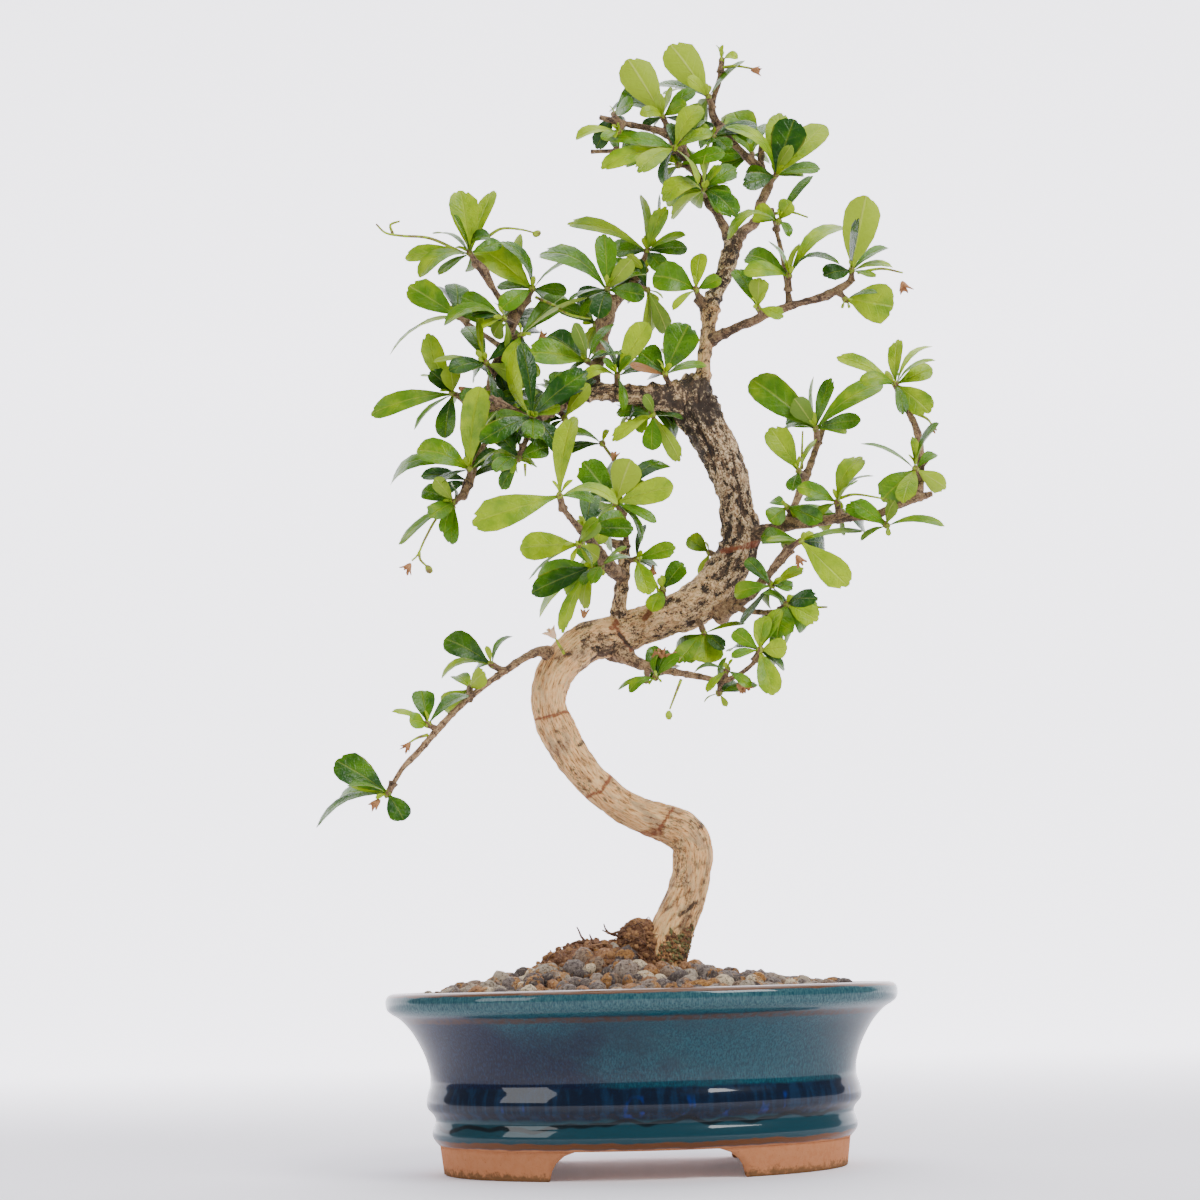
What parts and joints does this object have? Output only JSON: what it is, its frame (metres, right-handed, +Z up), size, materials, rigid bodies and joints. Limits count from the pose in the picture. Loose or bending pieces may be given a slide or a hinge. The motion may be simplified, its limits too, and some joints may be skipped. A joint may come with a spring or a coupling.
{
  "type": "bonsai tree in pot",
  "caption": "Small-leaved bonsai with an S-curved trunk and tufts of notched leaves, in an oval glazed pot with a flared lip, gravel and an arched foot.",
  "frame": {"origin": "middle of the whole tree's box in plan, on the surface that the pot stands on", "axes": "+Z up along the tree, +X to the right along the pot's long side, +Y away from the front"},
  "size_m": [0.253, 0.169, 0.4703],
  "materials": {
    "glaze": "glossy teal and blue glaze, foot unglazed",
    "gravel": "rough mixed pebbles",
    "peat": "fibrous, matt",
    "screen": "matt black",
    "bark": "fissured tan and brown bark",
    "leaves": "dark and shiny when grown, yellow-green and soft when young"
  },
  "bodies": {
    "root": {"pot": "glaze", "gravel": "gravel", "root_ball": "peat", "drain_screen_left": "screen", "drain_screen_right": "screen", "trunk_and_branches": "bark", "leaves_top_right": "leaves", "leaves_top_left": "leaves", "leaves_upper_elbow": "leaves", "leaves_mid_leader": "leaves", "leaves_crown_right": "leaves", "leaves_crown_inner": "leaves", "leaves_crown_elbow": "leaves", "leaves_tan_twig_side": "leaves", "leaves_upper_right_spur": "leaves", "leaves_upper_right_tip": "leaves", "leaves_upper_right_under": "leaves", "leaves_upper_right_inner": "leaves", "leaves_left_crown": "leaves", "leaves_left_crown_right": "leaves", "leaves_left_side_twig": "leaves", "leaves_left_upright_side": "leaves", "leaves_left_upright_low": "leaves", "leaves_far_left": "leaves", "leaves_left_low_crown": "leaves", "leaves_left_low_under": "leaves", "leaves_tan_fork_leaves": "leaves", "leaves_low_fork_leaves": "leaves", "leaves_upright_top": "leaves", "leaves_upright_twig_tip": "leaves", "leaves_leader_stub_leaves": "leaves", "leaves_knob_leaves": "leaves", "leaves_branch_top_leaves": "leaves", "leaves_upright_low": "leaves", "leaves_left_inner": "leaves", "leaves_front_tip": "leaves", "leaves_front_side": "leaves", "leaves_front_root": "leaves", "leaves_centre_front": "leaves", "leaves_short_right": "leaves", "leaves_under_knob": "leaves", "leaves_trunk_top_side": "leaves", "leaves_trunk_bend_side": "leaves", "leaves_trunk_under": "leaves", "leaves_right_thin_tip": "leaves", "leaves_right_lower_side": "leaves", "leaves_right_lower_tip": "leaves", "leaves_under_tip": "leaves", "leaves_under_root": "leaves", "leaves_left_low_fork": "leaves", "leaves_left_low_mid": "leaves", "leaves_left_low_elbow": "leaves", "leaves_left_low_tip": "leaves", "leaves_inner_low": "leaves", "leaves_inner_mid": "leaves", "leaves_inner_top": "leaves", "leaves_right_spur": "leaves", "leaves_right_low_spur": "leaves", "leaves_right_end_mid": "leaves", "leaves_right_end_tip": "leaves"}
  },
  "joints": []
}
